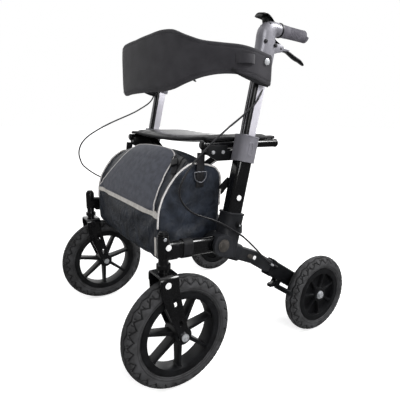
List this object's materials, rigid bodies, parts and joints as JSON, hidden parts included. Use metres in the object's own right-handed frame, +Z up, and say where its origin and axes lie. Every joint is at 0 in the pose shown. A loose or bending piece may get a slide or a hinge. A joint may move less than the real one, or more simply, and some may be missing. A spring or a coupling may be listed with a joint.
{
  "type": "all terrain rollator",
  "caption": "Folding walking aid with large pneumatic wheels, swivelling casters, sling seat, tote bag, foam backrest and height-adjustable brake handles.",
  "frame": {"origin": "on the ground, in the middle of the overall length and width", "axes": "+X to the user's left, -Y to the front, +Z up"},
  "size_m": [0.6704, 0.796, 0.9362],
  "materials": {
    "gloss_black": "glossy black powder coat on aluminium tube",
    "joint_plastic": "satin dark grey moulding",
    "black_plastic": "satin black moulding",
    "grey_plastic": "satin light grey moulding",
    "silver_paint": "satin light grey paint",
    "grip_rubber": "matt grey rubber",
    "tyre_rubber": "matt dark rubber",
    "steel": "zinc-plated steel",
    "cable_cover": "black cable cover",
    "seat_fabric": "black coated fabric",
    "bag_fabric": "dark blue-grey woven polyester",
    "backrest_foam": "charcoal fabric over foam"
  },
  "bodies": {
    "left_frame": {"frame_joint_left": "joint_plastic", "front_tube_left": "gloss_black", "caster_head_left": "gloss_black", "rear_leg_left": "gloss_black", "axle_block_left": "black_plastic", "upright_tube_left": "gloss_black", "height_sleeve_left": "grey_plastic", "rail_rest_left": "black_plastic", "frame_bolts_left": "steel", "rear_axle_left": "steel", "brake_cable_left": "cable_cover", "bag": "bag_fabric"},
    "left_handle": {"handle_tube_left": "silver_paint", "handle_head_left": "silver_paint", "grip_left": "grip_rubber", "head_screws_left": "steel", "backrest": "backrest_foam"},
    "left_brake_lever": {"brake_lever_left": "black_plastic"},
    "left_height_lever": {"height_lever_left": "black_plastic"},
    "left_caster": {"fork_left": "gloss_black", "front_axle_left": "steel"},
    "left_front_wheel": {"front_rim_left": "black_plastic", "front_tyre_left": "tyre_rubber", "front_bearings_left": "steel"},
    "left_rear_wheel": {"rear_rim_left": "black_plastic", "rear_tyre_left": "tyre_rubber", "rear_bearings_left": "steel"},
    "left_brake_arm": {"brake_arm_left": "black_plastic"},
    "right_frame": {"frame_joint_right": "joint_plastic", "front_tube_right": "gloss_black", "caster_head_right": "gloss_black", "rear_leg_right": "gloss_black", "axle_block_right": "black_plastic", "upright_tube_right": "gloss_black", "height_sleeve_right": "grey_plastic", "rail_rest_right": "black_plastic", "frame_bolts_right": "steel", "rear_axle_right": "steel", "brake_cable_right": "cable_cover"},
    "right_handle": {"handle_tube_right": "silver_paint", "handle_head_right": "silver_paint", "grip_right": "grip_rubber", "head_screws_right": "steel"},
    "right_brake_lever": {"brake_lever_right": "black_plastic"},
    "right_height_lever": {"height_lever_right": "black_plastic"},
    "right_caster": {"fork_right": "gloss_black", "front_axle_right": "steel"},
    "right_front_wheel": {"front_rim_right": "black_plastic", "front_tyre_right": "tyre_rubber", "front_bearings_right": "steel"},
    "right_rear_wheel": {"rear_rim_right": "black_plastic", "rear_tyre_right": "tyre_rubber", "rear_bearings_right": "steel"},
    "right_brake_arm": {"brake_arm_right": "black_plastic"},
    "bar_a": {"cross_bar_a": "gloss_black", "centre_bolt": "steel", "seat_rail_right": "black_plastic"},
    "bar_b": {"cross_bar_b": "gloss_black", "seat_rail_left": "black_plastic"},
    "seat_body": {"seat": "seat_fabric"}
  },
  "joints": [
    {"name": "fold", "type": "hinge", "parent": "left_frame", "child": "bar_a", "pos_m": [0.24, 0, 0.378], "axis": [0, 1, 0], "range_deg": [0, 46], "deforming": ["seat", "bag", "backrest"]},
    {"name": "fold_cross", "type": "hinge", "parent": "bar_a", "child": "bar_b", "pos_m": [0, 0, 0.497], "axis": [0, 1, 0], "range_deg": [-92, 0]},
    {"name": "fold_right", "type": "hinge", "parent": "bar_b", "child": "right_frame", "pos_m": [-0.24, 0, 0.378], "axis": [0, 1, 0], "range_deg": [0, 46]},
    {"name": "fold_seat", "type": "hinge", "parent": "bar_a", "child": "seat_body", "pos_m": [-0.24, 0, 0.616], "axis": [0, 1, 0], "range_deg": [-46, 0]},
    {"name": "left_handle_height", "type": "slide", "parent": "left_frame", "child": "left_handle", "axis": [0, 0.2096, 0.9778], "range_m": [-0.1, 0.06], "deforming": ["brake_cable_left"]},
    {"name": "left_caster_swivel", "type": "hinge", "parent": "left_frame", "child": "left_caster", "pos_m": [0.295, -0.2845, 0.3], "axis": [0, 0, 1], "continuous": true},
    {"name": "left_front_wheel_spin", "type": "hinge", "parent": "left_caster", "child": "left_front_wheel", "pos_m": [0.295, -0.2455, 0.1525], "axis": [1, 0, 0], "continuous": true},
    {"name": "left_rear_wheel_spin", "type": "hinge", "parent": "left_frame", "child": "left_rear_wheel", "pos_m": [0.295, 0.2725, 0.1255], "axis": [1, 0, 0], "continuous": true},
    {"name": "left_brake", "type": "hinge", "parent": "left_handle", "child": "left_brake_lever", "pos_m": [0.281, 0.06407, 0.862], "axis": [1, 0, 0], "range_deg": [0, 20], "stiffness_Nm_per_rad": 2},
    {"name": "left_height_release", "type": "hinge", "parent": "left_handle", "child": "left_height_lever", "pos_m": [0.281, 0.02053, 0.91629], "axis": [1, 0, 0], "range_deg": [0, 20], "stiffness_Nm_per_rad": 2},
    {"name": "left_brake_press", "type": "hinge", "parent": "left_frame", "child": "left_brake_arm", "pos_m": [0.255, 0.12795, 0.17836], "axis": [-1, 0, 0], "range_deg": [-12, 0]},
    {"name": "right_handle_height", "type": "slide", "parent": "right_frame", "child": "right_handle", "axis": [0, 0.2096, 0.9778], "range_m": [-0.1, 0.06], "deforming": ["brake_cable_right"]},
    {"name": "right_caster_swivel", "type": "hinge", "parent": "right_frame", "child": "right_caster", "pos_m": [-0.295, -0.2845, 0.3], "axis": [0, 0, 1], "continuous": true},
    {"name": "right_front_wheel_spin", "type": "hinge", "parent": "right_caster", "child": "right_front_wheel", "pos_m": [-0.295, -0.2455, 0.1525], "axis": [1, 0, 0], "continuous": true},
    {"name": "right_rear_wheel_spin", "type": "hinge", "parent": "right_frame", "child": "right_rear_wheel", "pos_m": [-0.295, 0.2725, 0.1255], "axis": [1, 0, 0], "continuous": true},
    {"name": "right_brake", "type": "hinge", "parent": "right_handle", "child": "right_brake_lever", "pos_m": [-0.281, 0.06407, 0.862], "axis": [1, 0, 0], "range_deg": [0, 20], "stiffness_Nm_per_rad": 2},
    {"name": "right_height_release", "type": "hinge", "parent": "right_handle", "child": "right_height_lever", "pos_m": [-0.281, 0.02053, 0.91629], "axis": [1, 0, 0], "range_deg": [0, 20], "stiffness_Nm_per_rad": 2},
    {"name": "right_brake_press", "type": "hinge", "parent": "right_frame", "child": "right_brake_arm", "pos_m": [-0.255, 0.12795, 0.17836], "axis": [-1, 0, 0], "range_deg": [-12, 0]}
  ],
  "couplings": [
    {"joint": "fold_cross", "follows": "fold", "ratio": -2},
    {"joint": "fold_right", "follows": "fold", "ratio": 1},
    {"joint": "fold_seat", "follows": "fold", "ratio": -1},
    {"joint": "left_brake_press", "follows": "left_brake", "ratio": -0.6},
    {"joint": "right_brake_press", "follows": "right_brake", "ratio": -0.6},
    {"joint": "right_handle_height", "follows": "left_handle_height", "ratio": 1}
  ]
}
